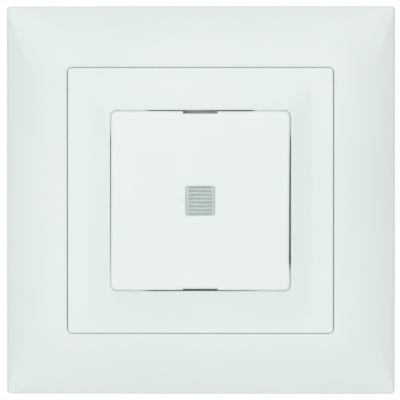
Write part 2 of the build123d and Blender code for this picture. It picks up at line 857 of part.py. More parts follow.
def claw_screw(side):
    seat_z = ring_thick + claw_screw_gap
    top_z = seat_z + claw_screw_head
    screw = upright(claw_screw_x, 0, claw_screw_r, claw_screw_tip_z, top_z)
    screw += upright(claw_screw_x, 0, claw_screw_head_r, seat_z, top_z)
    slot_x = (claw_screw_x - claw_screw_head_r - 1, claw_screw_x + claw_screw_head_r + 1)
    slot_y = (-claw_screw_slot_half, claw_screw_slot_half)
    screw -= block(slot_x, slot_y, (top_z - claw_screw_slot, top_z + 1))
    return on_side(screw, side)


def claw_nut(side):
    nut = along_y(claw_screw_x, (-claw_nut_half_y, claw_nut_half_y), claw_nut_z, claw_nut_r)
    hole_z = (claw_nut_z - claw_nut_r - 1, claw_nut_z + claw_nut_r + 1)
    hole = upright(claw_screw_x, 0, claw_screw_r + claw_play, *hole_z)
    return on_side(nut - hole, side)


def write(name, shape):
    """Turns a piece so that the front looks along -Y with +Z up, and writes it."""
    pieces = shape if isinstance(shape, list) else [shape]
    solids = [solid for piece in pieces for solid in piece.solids()]
    turned = [Rot(90, 0, 0) * solid for solid in solids]
    export_step(turned[0] if len(turned) == 1 else Compound(children=turned), f"parts/{name}.step")


os.makedirs("parts", exist_ok=True)
write("cover_frame", cover_frame())
write("centre_plate", centre_plate())
write("push_button", push_button())
write("button_lens", button_lens())
write("actuator", actuator())
write("support_ring", support_ring())
write("ring_rivets", ring_rivets())
write("housing_cover", housing_cover())
write("housing_base", housing_base())
write("base_screws", base_screws())
write("lamp_holder", lamp_holder())
write("lamp_bulb", lamp_bulb())
write("lamp_electrodes", lamp_electrodes())
write("lamp_resistor", lamp_resistor())
write("lamp_pins", lamp_pins())
write("contact_lever", contact_lever())
write("moving_contact", moving_contact())
write("fixed_contact", fixed_contact())
write("lever_pivot_pin", lever_pivot_pin())
write("contact_spring", contact_spring())
write("live_rail", live_rail())
write("switched_rail", switched_rail())
write("neutral_rail", neutral_rail())
write("clamp_spring_live_left", clamp_spring(-1, 1))
write("clamp_spring_live_right", clamp_spring(1, 1))
write("clamp_spring_switched", clamp_spring(-1, -1))
write("clamp_spring_neutral", clamp_spring(1, -1))
write("release_key_top", release_key(1))
write("release_key_bottom", release_key(-1))
for side, name in ((-1, "left"), (1, "right")):
    write(f"return_spring_{name}", return_spring(side))
    write(f"claw_{name}", claw(side))
    write(f"claw_pin_{name}", claw_pin(side))
    write(f"claw_screw_{name}", claw_screw(side))
    write(f"claw_nut_{name}", claw_nut(side))
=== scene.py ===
"""The illuminated push button switch: its finishes, rounded skins, coils, threads and the studio.

Shapes are drawn in millimetres as a maker would: x to the right, y up, z out of the wall. WALL
turns such a drawing into the shared frame, which is in metres and whose front looks along -Y.
"""

import json
import math

import bmesh
import bpy
from mathutils import Matrix, Vector

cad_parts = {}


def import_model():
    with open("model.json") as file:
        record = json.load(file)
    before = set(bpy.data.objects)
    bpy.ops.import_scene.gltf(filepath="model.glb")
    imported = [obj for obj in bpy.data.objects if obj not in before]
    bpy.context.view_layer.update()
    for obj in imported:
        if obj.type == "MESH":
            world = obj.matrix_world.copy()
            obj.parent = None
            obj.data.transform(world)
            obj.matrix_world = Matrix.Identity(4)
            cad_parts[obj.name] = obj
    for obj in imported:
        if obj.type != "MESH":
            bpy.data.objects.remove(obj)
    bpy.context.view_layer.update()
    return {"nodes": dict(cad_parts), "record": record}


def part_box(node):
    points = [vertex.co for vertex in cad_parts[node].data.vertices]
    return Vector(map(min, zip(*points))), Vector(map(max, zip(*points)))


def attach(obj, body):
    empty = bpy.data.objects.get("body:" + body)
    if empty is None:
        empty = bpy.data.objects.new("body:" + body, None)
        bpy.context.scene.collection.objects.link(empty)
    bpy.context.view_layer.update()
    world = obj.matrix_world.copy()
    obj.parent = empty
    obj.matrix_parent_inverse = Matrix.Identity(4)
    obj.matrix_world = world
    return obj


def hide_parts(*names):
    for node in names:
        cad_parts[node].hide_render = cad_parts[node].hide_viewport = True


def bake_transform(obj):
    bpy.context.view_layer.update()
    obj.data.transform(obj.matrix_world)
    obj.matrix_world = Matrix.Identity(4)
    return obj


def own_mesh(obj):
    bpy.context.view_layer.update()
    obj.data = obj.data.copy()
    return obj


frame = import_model()

MM = 0.001
MM_PER_METRE = 1000
WALL = Matrix.Rotation(math.radians(90), 4, "X") @ Matrix.Scale(MM, 4)
SMOOTH_LIMIT = math.radians(46)


def reach(node):
    """A node's limits in the drawing's millimetres: the low and the high of x, of y and of z."""
    low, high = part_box(node)
    limits = (low.x, high.x, low.z, high.z, -high.y, -low.y)
    return [MM_PER_METRE * value for value in limits]


# Sizes of the frame, in millimetres
frame_half = reach("cover_frame")[1]
crown_z = 8.8
rim_z = 5.0
rim_round = 0.45
frame_wall = 1.9
frame_corner = 0.8
frame_side_rows = (3.0, 1.5, 0.2)
frame_foot_ease = 0.2
window_half = 27.61
window_ends = -0.05
window_corner = 1.1
window_round = 0.3
window_wall = 1.8
ledge_half = 26.4
ledge_low_z = 5.6
ledge_z = 6.8
dome_bulge = 6.7
dome_bulge_lean = 1.5
dome_rings = 34
dome_back_rings = 16

# Sizes of the plate and of the gaps round the button. Sides go right, top, left, bottom.
plate_half = reach("centre_plate")[1]
plate_corner = 0.9
plate_round = 0.28
plate_skirt = 1.5
plate_under_z = 7.2
collar_foot = 23.4
collar_foot_ends = 26.2
collar_foot_corner = 4.0
collar_lip = 19.15
collar_lip_corner = 1.7
collar_rise = 0.9
collar_ease = 0.2
collar_rings = 18
collar_outer = 20.4
collar_back_z = 4.5
opening_half = 18.59
opening_corner = 1.24
opening_round = 0.12
opening_rows = (collar_back_z, 6.0, 8.0)
relief_gaps = ((0.18, 0.15), (0.18, 0.14), (0.08, 0.08), (0.14, 0.1))
relief_side = 14.0
relief_end = 11.5
guide_gaps = (0.04, 0.012, 0.04, 0.04)
clip_x = 10.0
clip_half = 2.5
clip_ease = 0.08

# Sizes of the button
button_half = 18.55
button_z = 10.9
button_back_z = 6.2
button_corner = 1.2
button_round = 0.45
button_wall = 1.4
button_under_z = 9.3
button_face_rings = ((4.6, 0.6), (8.0, 0.8), (12.0, 0.9), (15.5, 1.0), (17.4, 1.1))
button_side_rows = (9.0, 7.5)
button_inner_corner = 0.6
notch_half = 3.5
notch_depths = {1: 0.52, 3: 0.32}
notch_undercut = 0.3
cap_hollows = ((0.22, 0.03), (0.09, 0.0), (0.07, 0.0), (0.07, 0.01))
cap_hollow_inset = 1.0
cap_hollow_fall = 0.6
pad_x, pad_y = 12.5, 6.0
pad_radius = 1.2
pad_low_z = 6.0
leg_x = 9.0
leg_half = 1.5
leg_y = (12.0, 13.1)
leg_low_z = 4.0
barb_y = (13.0, 13.6)
barb_top_z = 4.9

# Sizes of the lens
lens_half = 3.0
lens_corner = 0.35
lens_play = 0.03
lens_round = 0.08
lens_mouth_round = 0.05
lens_flange = 4.0
lens_flange_corner = 0.3
lens_boss_wall = 1.0
lens_low_z = 8.4
lens_z = 10.8
rib_pitch = 0.79
rib_count = 7
rib_half_length = 2.28
rib_height = 0.2
rib_share = 0.87
rib_play = 0.03
rib_sink = 0.01

# Small eases of edges, a cutter's reach past what it cuts, and how far joined parts overlap
hidden_ease = 0.15
edge_ease = 0.1
soft_ease = 0.06
cutter_past = 1.0
overlap = 0.05


# Nodes, for shaders and for geometry alike
class Wire:
    """A node's output, with the arithmetic that the trees use."""

    def __init__(self, graph, output):
        self.graph = graph
        self.output = output

    def other(self, name):
        return Wire(self.graph, self.output.node.outputs[name])

    def __add__(self, value):
        return self.graph.math("ADD", self, value)

    def __sub__(self, value):
        return self.graph.math("SUBTRACT", self, value)

    def __rsub__(self, value):
        return self.graph.math("SUBTRACT", value, self)

    def __mul__(self, value):
        return self.graph.math("MULTIPLY", self, value)

    def __truediv__(self, value):
        return self.graph.math("DIVIDE", self, value)

    __radd__ = __add__
    __rmul__ = __mul__


class Graph:
    """A node tree that is filled one node at a time."""

    def __init__(self, tree):
        self.tree = tree

    def node(self, kind, settings=None, values=None, output=0):
        made = self.tree.nodes.new(kind)
        for name, value in (settings or {}).items():
            if name == "stops":
                self.set_stops(made.color_ramp, value)
            else:
                setattr(made, name, value)
        for name, value in (values or {}).items():
            if isinstance(value, Wire):
                self.tree.links.new(value.output, made.inputs[name])
            else:
                made.inputs[name].default_value = value
        return Wire(self, made.outputs[output]) if len(made.outputs) else made

    def set_stops(self, ramp, stops):
        while len(ramp.elements) < len(stops):
            ramp.elements.new(0.5)
        for element, (place, shade) in zip(ramp.elements, stops):
            element.position = place
            element.color = (shade, shade, shade, 1)

    def math(self, operation, *values):
        return self.node("ShaderNodeMath", {"operation": operation}, dict(enumerate(values)))

    def mix(self, share, first, second):
        """A colour between two colours."""
        values = {0: share, 6: first, 7: second}
        return self.node("ShaderNodeMix", {"data_type": "RGBA"}, values, output=2)

    def noise(self, place, scale, detail=2.0, roughness=0.5):
        values = {"Vector": place, "Scale": scale, "Detail": detail, "Roughness": roughness}
        return self.node("ShaderNodeTexNoise", None, values)

    def ramp(self, value, *stops):
        return self.node("ShaderNodeValToRGB", {"stops": stops}, {0: value})

    def stretched(self, place, scale):
        return self.node("ShaderNodeMapping", None, {"Vector": place, "Scale": scale})

    def bump(self, height, distance, strength=1.0, under=None):
        values = {"Height": height, "Distance": distance, "Strength": strength}
        if under:
            values["Normal"] = under
        return self.node("ShaderNodeBump", None, values)

    def across(self, place):
        """A place's x, whose other() outputs are its y and z."""
        return self.node("ShaderNodeSeparateXYZ", None, {0: place})

    def vector(self, x=0.0, y=0.0, z=0.0):
        return self.node("ShaderNodeCombineXYZ", None, {0: x, 1: y, 2: z})


def colour(red, green, blue):
    return (red, green, blue, 1.0)


def finish(name, fixed, varied):
    """A material: fixed values sit on the shader's own sockets, and varied() adds what changes over
    a surface."""
    made = bpy.data.materials.new(name)
    made.use_nodes = True
    graph = Graph(made.node_tree)
    made.node_tree.nodes.clear()
    place = graph.node("ShaderNodeTexCoord", output="Object")
    values = dict(fixed)
    values.update(varied(graph, place))
    shader = graph.node("ShaderNodeBsdfPrincipled", None, values)
    graph.node("ShaderNodeOutputMaterial", None, {"Surface": shader})
    return made


# Finishes. A noise's scale is its number of cells in a metre, and a bump's depth is in metres.
def moulded(name, base, shade, roughness, grain=2200.0, depth=0.000004):
    """Injection moulded plastic: a fine eroded grain, faint flow clouds and uneven gloss."""
    cloud_scale, gloss_scale, coarse_scale = 45.0, 160.0, 420.0
    gloss_swing, grain_swing = 0.12, 0.05
    coarse_depth = depth * 1.6

    def varied(graph, place):
        clouds = graph.noise(place, cloud_scale, detail=3.0)
        fine = graph.noise(place, grain, roughness=0.6)
        gloss = graph.noise(place, gloss_scale, detail=4.0)
        coarse = graph.noise(place, coarse_scale)
        tone = graph.ramp(clouds, (0.35, 0.0), (0.65, 1.0))
        grained = graph.bump(fine, depth, 0.6)
        return {
            "Base Color": graph.mix(tone, colour(*base), colour(*shade)),
            "Roughness": roughness + (gloss - 0.5) * gloss_swing + (fine - 0.5) * grain_swing,
            "Normal": graph.bump(coarse, coarse_depth, 0.5, grained),
        }

    return finish(name, {"IOR": 1.49}, varied)


def plated(name, base, tint, roughness, brush=(60.0, 2600.0, 60.0), depth=0.000006):
    """Bare or plated metal: fine lines, a tint in clouds and small dull spots."""
    cloud_scale, spot_scale = 110.0, 700.0
    spot_shade, spot_cover = 0.72, 0.5
    line_swing, spot_dullness = 0.22, 0.12

    def varied(graph, place):
        lines = graph.noise(graph.stretched(place, brush), 1.0, detail=4.0, roughness=0.7)
        clouds = graph.noise(place, cloud_scale, detail=3.0)
        spots = graph.noise(place, spot_scale, detail=3.0)
        worn = graph.ramp(spots, (0.56, 0.0), (0.7, 1.0))
        clouded = graph.ramp(clouds, (0.4, 0.0), (0.65, 1.0))
        tinted = graph.mix(clouded, colour(*base), colour(*tint))
        dull = colour(*[spot_shade * value for value in base])
        return {
            "Base Color": graph.mix(worn * spot_cover, tinted, dull),
            "Roughness": roughness + (lines - 0.5) * line_swing + worn * spot_dullness,
            "Normal": graph.bump(lines, depth, 0.5, graph.bump(spots, depth, 0.25)),
        }

    return finish(name, {"Metallic": 1.0}, varied)


def ribbed_lens():
    """Clear grey plastic, milky over the diffuser behind it, with painted shade in its grooves and
    lighter flecks that are partly painted glints.
    """
    pitch = MM * rib_pitch
    length = 2 * MM * rib_half_length
    height = pitch * rib_count
    milky_dark, milky_fleck_and_glint = colour(0.535, 0.614, 0.6), colour(0.645, 0.729, 0.717)
    # The colour of the painted shade in the grooves
    groove_shade_grey = colour(0.4, 0.478, 0.472)
    speckle_scale, streak_scale = 5200.0, (900.0, 900.0, 4500.0)
    gloss, gloss_swing = 0.2, 0.2

    def varied(graph, place):
        across = graph.across(place)
        up = across.other("Z")
        # Painted shade: dark lines over the grooves between the ribs and along the pocket's top
        # edge, for the shade and dim refraction in the grooves and the recess's shadow at the top;
        # the pocket's bottom edge stays unpainted.
        off_groove = graph.math("ABSOLUTE", graph.math("FRACT", up / pitch + rib_count) - 0.5)
        along = graph.math("ABSOLUTE", across) / length
        within = graph.ramp(along, (0.49, 1.0), (0.51, 0.0))
        above_lowest = graph.ramp(up / height + 0.5, (0.01, 0.0), (0.03, 1.0))
        painted_groove_shade = graph.ramp(off_groove, (0.05, 1.0), (0.13, 0.0)) * within * above_lowest
        # Fine speckles and streaks swing the tone between two milky greys; the lighter flecks are
        # partly painted glints.
        speckle = graph.noise(place, speckle_scale, detail=3.0, roughness=0.7)
        streaks = graph.noise(graph.stretched(place, streak_scale), 1.0, detail=3.0)
        tone = graph.ramp(speckle * 0.5 + streaks * 0.5, (0.4, 0.0), (0.6, 1.0))
        milky = graph.mix(tone, milky_dark, milky_fleck_and_glint)
        return {
            "Base Color": graph.mix(painted_groove_shade * (0.75 + speckle * 0.4), milky, groove_shade_grey),
            "Roughness": gloss + (streaks - 0.5) * gloss_swing,
            "Normal": graph.bump(speckle, 0.00001, 0.4),
        }

    return finish("ribbed_lens_plastic", {"IOR": 1.49, "Transmission Weight": 0.1}, varied)


def clear_glass():
    """Thin drawn glass, faintly wavy."""

    def varied(graph, place):
        waves = graph.noise(place, 250.0)
        return {"Roughness": 0.03 + waves * 0.04, "Normal": graph.bump(waves, 0.00002, 0.3)}

    fixed = {"Base Color": colour(0.93, 0.96, 0.95), "Transmission Weight": 1.0, "IOR": 1.47}
    return finish("lamp_glass", fixed, varied)


def coated_resistor():
    """A lacquered body with three plain rings."""
    ring_turns = 5200.0
    lacquer, ring = colour(0.62, 0.47, 0.27), colour(0.2, 0.06, 0.03)

    def varied(graph, place):
        wave = graph.math("SINE", graph.across(place).other("Z") * ring_turns)
        rings = graph.ramp(wave, (0.75, 0.0), (0.8, 1.0))
        grain = graph.noise(place, 2400.0)
        return {
            "Base Color": graph.mix(rings, lacquer, ring),
            "Roughness": 0.4 + grain * 0.2,
            "Normal": graph.bump(grain, 0.00001, 0.4),
        }

    return finish("resistor_lacquer", {"IOR": 1.5}, varied)


WHITE = ((0.80, 0.862, 0.852), (0.785, 0.85, 0.84))
WHITE_BUTTON = ((0.815, 0.876, 0.868), (0.802, 0.864, 0.856))
STONE_GREY = ((0.62, 0.63, 0.59), (0.56, 0.57, 0.53))
PALE_GREY = ((0.74, 0.74, 0.7), (0.68, 0.68, 0.64))
NEAR_BLACK = ((0.055, 0.065, 0.075), (0.08, 0.09, 0.1))
ZINC = ((0.55, 0.6, 0.62), (0.6, 0.62, 0.6))
ZINC_SCREW = ((0.6, 0.61, 0.62), (0.64, 0.62, 0.55))
SPRING_STEEL = ((0.5, 0.5, 0.51), (0.55, 0.52, 0.48))
BRASS = ((0.74, 0.53, 0.22), (0.66, 0.43, 0.17))
SILVER = ((0.8, 0.79, 0.76), (0.7, 0.67, 0.6))
DARK_NICKEL = ((0.3, 0.3, 0.31), (0.24, 0.22, 0.2))
TURNED = (500.0, 500.0, 500.0)
DRAWN = (1800.0, 300.0, 1800.0)
PRESSED = (400.0, 400.0, 400.0)

FINISHES = {
    "white_plastic": moulded("white_satin_plastic", *WHITE, 0.36),
    "button_plastic": moulded("white_button_plastic", *WHITE_BUTTON, 0.34),
    "frame_plastic": moulded("white_frame_plastic", *WHITE, 0.46),
    "lens_plastic": ribbed_lens(),
    "insert_plastic": moulded("insert_plastic", *STONE_GREY, 0.48, grain=1500.0, depth=0.000009),
    "slider_plastic": moulded("slider_plastic", *PALE_GREY, 0.34),
    "key_plastic": moulded("key_plastic", *NEAR_BLACK, 0.42),
    "zinc_steel": plated("zinc_sheet", *ZINC, 0.34),
    "screw_steel": plated("zinc_screw", *ZINC_SCREW, 0.3, TURNED, depth=0.0000012),
    "spring_steel": plated("spring_steel", *SPRING_STEEL, 0.25, DRAWN),
    "brass": plated("rolled_brass", *BRASS, 0.28),
    "contact_silver": plated("contact_silver", *SILVER, 0.3, PRESSED),
    "glass": clear_glass(),
    "electrode": plated("electrode_wire", *DARK_NICKEL, 0.45),
    "resistor_body": coated_resistor(),
}
SLOTS = {row["node"]: row["material_slot"] for row in frame["record"]["subparts"]}
BODIES = {
    node: body for body, nodes in frame["record"]["behaviour"]["bodies"].items() for node in nodes
}


# Meshes
BEVEL_SEGMENTS = 2
BEVEL_LIMIT = 30.0


def to_mesh(shape):
    """A bmesh becomes a mesh whose hard edges stay hard and whose rounds shade smooth."""
    for face in shape.faces:
        face.smooth = True
    for edge in shape.edges:
        edge.smooth = edge.calc_face_angle(0.0) < SMOOTH_LIMIT
    mesh = bpy.data.meshes.new("shape")
    shape.to_mesh(mesh)
    shape.free()
    return mesh


def piece(name, mesh, node, drawn=True, rides=True):
    """Puts a finished mesh in place of a node, in its finish and on its body. drawn says that the
    mesh is still in the drawing's millimetres, rides that it goes with its body as a whole."""
    if drawn:
        mesh.transform(WALL)
    mesh = weighted(mesh)
    mesh.name = name
    made = bpy.data.objects.new(name, mesh)
    bpy.context.scene.collection.objects.link(made)
    mesh.materials.clear()
    mesh.materials.append(FINISHES[SLOTS[node]])
    if rides:
        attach(made, BODIES[node])
    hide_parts(node)
    return made


def evaluated(mesh, modify):
    """A mesh after the modifiers that modify() puts on it."""
    carrier = bpy.data.objects.new("carrier", mesh)
    bpy.context.scene.collection.objects.link(carrier)
    modify(carrier)
    graph = bpy.context.evaluated_depsgraph_get()
    result = bpy.data.meshes.new_from_object(carrier.evaluated_get(graph))
    bpy.data.objects.remove(carrier)
    return result


def weighted(mesh):
    """The mesh with its shading led by its largest faces, so that flats look flat."""

    def modify(carrier):
        normals = carrier.modifiers.new("normals", "WEIGHTED_NORMAL")
        normals.mode = "FACE_AREA"
        normals.keep_sharp = True

    return evaluated(mesh, modify)


def joined(meshes):
    """One mesh of one or more, each closed by itself, with its hard edges found again."""
    shape = bmesh.new()
    for mesh in meshes:
        shape.from_mesh(mesh)
    return to_mesh(shape)


def cut(mesh, cutter):
    """One solid mesh less another."""
    tool = bpy.data.objects.new("cutter", cutter)
    bpy.context.scene.collection.objects.link(tool)

    def modify(carrier):
        boolean = carrier.modifiers.new("cut", "BOOLEAN")
        boolean.object = tool
        boolean.operation = "DIFFERENCE"
        boolean.solver = "EXACT"

    result = evaluated(mesh, modify)
    bpy.data.objects.remove(tool)
    return joined([result])


def bevelled(mesh, width, limit=BEVEL_LIMIT):
    """The mesh with its edges rounded, those of at least limit degrees."""

    def modify(carrier):
        bevel = carrier.modifiers.new("edges", "BEVEL")
        bevel.width = width
        bevel.segments = BEVEL_SEGMENTS
        bevel.limit_method = "ANGLE"
        bevel.angle_limit = math.radians(limit)
        bevel.use_clamp_overlap = True

    return joined([evaluated(mesh, modify)])


def prism(outline, low, high):
    """A closed prism: the outline lies in x and y, and low and high are its z limits."""
    shape = bmesh.new()
    lower = [shape.verts.new((x, y, low)) for x, y in outline]
    upper = [shape.verts.new((x, y, high)) for x, y in outline]
    shape.faces.new(lower[::-1])
    shape.faces.new(upper)
    for i in range(len(outline)):
        after = (i + 1) % len(outline)
        shape.faces.new((lower[i], lower[after], upper[after], upper[i]))
    bmesh.ops.recalc_face_normals(shape, faces=shape.faces)
    return to_mesh(shape)


def slab(x, y, z, round_by=0.0):
    """A box from three pairs of limits, its edges rounded if asked."""
    mesh = prism([(x[0], y[0]), (x[1], y[0]), (x[1], y[1]), (x[0], y[1])], z[0], z[1])
    return bevelled(mesh, round_by) if round_by else mesh


def turned(profile, sides):
    """A solid of revolution about z from (radius, z) points that start and end on the axis."""
    shape = bmesh.new()
    angles = [2 * math.pi * i / sides for i in range(sides)]
    rings = []
    for radius, z in profile[1:-1]:
        circle = [(radius * math.cos(angle), radius * math.sin(angle), z) for angle in angles]
        rings.append([shape.verts.new(point) for point in circle])
    first = shape.verts.new((0, 0, profile[0][1]))
    last = shape.verts.new((0, 0, profile[-1][1]))
    for i in range(sides):
        after = (i + 1) % sides
        shape.faces.new((first, rings[0][after], rings[0][i]))
        shape.faces.new((last, rings[-1][i], rings[-1][after]))
        for lower, upper in zip(rings, rings[1:]):
            shape.faces.new((lower[i], lower[after], upper[after], upper[i]))
    bmesh.ops.recalc_face_normals(shape, faces=shape.faces)
    return to_mesh(shape)


def about(degrees, axis="Z"):
    return Matrix.Rotation(math.radians(degrees), 4, axis)


def moved(mesh, x=0.0, y=0.0, z=0.0, turn=None):
    mesh.transform(Matrix.Translation((x, y, z)) @ (turn or Matrix.Identity(4)))
    return mesh


# Rounded squares and the skins that run through them
EVEN_STATIONS = [i / 12 for i in range(-11, 12)]
CORNER_STEPS = 14
STEP = 0.12
NEAR = 0.01


def level(half, corner, z, stations, push=None, taller=0.0):
    """A ring of points round a square with round corners. push() may move a side's point in or out,
    by the side and the place on it, and taller sets the top and bottom that much further out."""
    straight = half - corner
    ring = []
    for side in range(4):
        turn = Matrix.Rotation(math.radians(90 * side), 3, "Z")
        for station in stations:
            out = half + (push(side, station * straight) if push else 0.0)
            ring.append(turn @ Vector((out, station * straight, z)))
        for step in range(CORNER_STEPS + 1):
            angle = math.radians(90 * step / CORNER_STEPS)
            corner_x = straight + corner * math.cos(angle)
            corner_y = straight + corner * math.sin(angle)
            ring.append(turn @ Vector((corner_x, corner_y, z)))
    for point in ring:
        past = max(-1.0, min(point.y / straight, 1.0))
        point.y += taller * past
    return ring


def skin(profile, stations):
    """A closed skin with a hole through it: each ring joins the next, and the last the first. A row
    of the profile is a half width, a z, a corner's radius and then what else level() takes."""
    shape = bmesh.new()
    rings = [level(half, corner, z, stations, *more) for half, z, corner, *more in profile]
    rows = [[shape.verts.new(point) for point in ring] for ring in rings]
    count = len(rows[0])
    for i, row in enumerate(rows):
        following = rows[(i + 1) % len(rows)]
        for j in range(count):
            after = (j + 1) % count
            shape.faces.new((row[j], row[after], following[after], following[j]))
    bmesh.ops.recalc_face_normals(shape, faces=shape.faces)
    return to_mesh(shape)


def arc(centre_half, centre_z, radius, start, end, steps=5):
    """Points of a profile along an arc, by angle in degrees from outwards towards the front."""
    points = []
    for step in range(steps + 1):
        angle = math.radians(start + (end - start) * step / steps)
        points.append((centre_half + radius * math.cos(angle), centre_z + radius * math.sin(angle)))
    return points


def between(first, last, steps):
    """Evenly spaced values, both ends included."""
    return [first + (last - first) * i / steps for i in range(steps + 1)]


def both_ways(places):
    """The same places on either side of the middle."""
    return [-place for place in places] + places


# Cover frame
def dome_z(half, inset=0.0):
    """The frame's front: an arc that is level at the window and falls towards the rim."""
    run = frame_half - window_half
    drop = crown_z - rim_z
    radius = (run**2 + drop**2) / (2 * drop) - inset
    return crown_z - inset - radius + math.sqrt(radius**2 - (half - window_half) ** 2)


def dome_corner(half):
    """The level lines' corner radius, which swells between the window and the rim."""
    share = (half - window_half) / (frame_half - window_half)
    edge = window_corner + (frame_corner - window_corner) * share
    return edge + dome_bulge * math.sin(math.pi * min(max(share, 0.0), 1.0) ** dome_bulge_lean)


def rim_points():
    """The round between the dome and the frame's side, as a curve that leaves both level."""
    small = 0.05
    start = (frame_half - rim_round, dome_z(frame_half - rim_round))
    slope = (dome_z(start[0] - small) - start[1]) / small
    knee = (frame_half, start[1] - slope * rim_round)
    end = (frame_half, knee[1] - rim_round)
    points = []
    for share in between(0.0, 1.0, 6)[1:]:
        weights = ((1 - share) ** 2, 2 * share * (1 - share), share**2)
        points.append([sum(w * p[i] for w, p in zip(weights, (start, knee, end))) for i in (0, 1)])
    return points


def cover_frame():
    wall_half = window_half + window_wall
    cavity_half = frame_half - frame_wall
    profile = [
        (ledge_half, ledge_low_z + hidden_ease, window_corner),
        (ledge_half, ledge_z - edge_ease, window_corner),
        (ledge_half + edge_ease, ledge_z, window_corner),
        (window_half, ledge_z, window_corner, None, window_ends),
    ]
    for half, z in arc(window_half + window_round, crown_z - window_round, window_round, 180, 90):
        profile.append((half, z - (crown_z - dome_z(half)), window_corner, None, window_ends))
    for half in between(window_half + window_round, frame_half - rim_round, dome_rings)[1:]:
        profile.append((half, dome_z(half), dome_corner(half)))
    profile += [(half, z, frame_corner) for half, z in rim_points()]
    profile += [(frame_half, z, frame_corner) for z in frame_side_rows]
    profile += [
        (frame_half - soft_ease, soft_ease, frame_corner),
        (frame_half - frame_foot_ease, 0.0, frame_corner),
        (cavity_half + hidden_ease, 0.0, frame_corner),
        (cavity_half, hidden_ease, frame_corner),
    ]
    for half in between(cavity_half, wall_half, dome_back_rings):
        corner = max(dome_corner(half) - frame_wall, frame_corner)
        profile.append((half, dome_z(half, frame_wall), corner))
    profile += [
        (wall_half, ledge_low_z + hidden_ease, window_corner),
        (wall_half - hidden_ease, ledge_low_z, window_corner),
        (ledge_half + hidden_ease, ledge_low_z, window_corner),
    ]
    piece("cover_frame_shell", skin(profile, EVEN_STATIONS), "cover_frame")


# Centre plate. Its rings have points where a relief ends, and an even row between those.
relief_ends = [relief_end, relief_end + STEP, relief_side, relief_side + STEP]
plate_places = both_ways(relief_ends + [12.8, 16.0]) + between(-10.5, 10.5, 10)
PLATE_STATIONS = [place / (opening_half - opening_corner) for place in sorted(plate_places)]


def relief_length(side):
    return relief_side if side % 2 == 0 else relief_end


def relief(side, place):
    """The opening guides the button near its corners, and each side has its own tapered gap
    between them."""
    length = relief_length(side)
    if abs(place) > length + NEAR:
        return button_half - opening_half + guide_gaps[side]
    first, last = relief_gaps[side]
    return button_half - opening_half + first + (last - first) * (place + length) / (2 * length)


def collar_z(half):
    """The flare leaves the plate level and soon rises at an even slope."""
    share = (collar_foot - half) / (collar_foot - collar_lip)
    return crown_z + collar_rise * share**2 * (1 + collar_ease) / (share + collar_ease)


def centre_plate():
    lip_z = crown_z + collar_rise
    skirt_half = plate_half - plate_skirt
    mouth = arc(opening_half + opening_round, lip_z - opening_round, opening_round, 180, 90, 3)
    profile = [(opening_half, z, opening_corner, relief) for z in opening_rows]
    profile += [(half, z, opening_corner, relief) for half, z in mouth]
    profile.append((collar_lip - soft_ease, lip_z, collar_lip_corner))
    for half in between(collar_lip, collar_foot, collar_rings):
        share = (half - collar_lip) / (collar_foot - collar_lip)
        corner = collar_lip_corner + (collar_foot_corner - collar_lip_corner) * share
        taller = share * (collar_foot_ends - collar_foot)
        profile.append((half, collar_z(half), corner, None, taller))
    for half, z in arc(plate_half - plate_round, crown_z - plate_round, plate_round, 90, 0):
        profile.append((half, z, plate_corner))
    profile += [
        (plate_half, ledge_z + edge_ease, plate_corner),
        (plate_half - edge_ease, ledge_z, plate_corner),
        (skirt_half, ledge_z, plate_corner),
        (skirt_half, plate_under_z, plate_corner),
        (collar_outer, plate_under_z, opening_corner),
        (collar_outer, collar_back_z + hidden_ease, opening_corner),
        (collar_outer - hidden_ease, collar_back_z, opening_corner),
    ]
    parts = [skin(profile, PLATE_STATIONS)]
    for x in (-clip_x, clip_x):
        parts += [plate_clip(x, degrees) for degrees in (180, 0)]
    piece("centre_plate_shell", joined(parts), "centre_plate")


def plate_clip(x, degrees):
    """A spring leg with a barb behind the ring, drawn in y and z, stood upright and turned."""
    outer_side = [(24.5, 7.3), (24.5, -1.9), (24.6, -2.0), (25.7, -2.0)]
    barb = [(26.7, -0.85), (26.7, -0.25), (26.65, -0.2), (25.9, -0.2), (25.9, 7.3)]
    leg = bevelled(prism(outer_side + barb, -clip_half, clip_half), clip_ease)
    upright = Matrix(((0, 0, 1, 0), (1, 0, 0, 0), (0, 1, 0, 0), (0, 0, 0, 1)))
    return moved(leg, x, turn=about(degrees) @ upright)


# Push button. Its rings have points where a notch ends, and an even row along each side.
notch_ends = both_ways([notch_half, notch_half + STEP])
button_places = notch_ends + between(-15.4, 15.4, 10) + [-2.0, 0.6, 2.0]
BUTTON_STATIONS = [place / (button_half - button_corner) for place in sorted(button_places)]


def in_notch(side, place):
    return side in notch_depths and abs(place) <= notch_half + NEAR


def cap_edge(side, place):
    """The pry notches in the middle of the top and bottom edges, and each edge's slight hollow,
    which is deepest at one end, so that the gaps look as if the cap had turned a little."""
    if in_notch(side, place):
        return -notch_depths[side]
    half = relief_length(side) - cap_hollow_inset
    if abs(place) > half:
        return 0.0
    deepest, least = cap_hollows[side]
    return -least - (deepest - least) * (0.5 - 0.5 * place / half) ** cap_hollow_fall


def undercut(side, place):
    """Below its rim a notch goes further in, so that a blade can lift the cap."""
    return cap_edge(side, place) - (notch_undercut if in_notch(side, place) else 0.0)


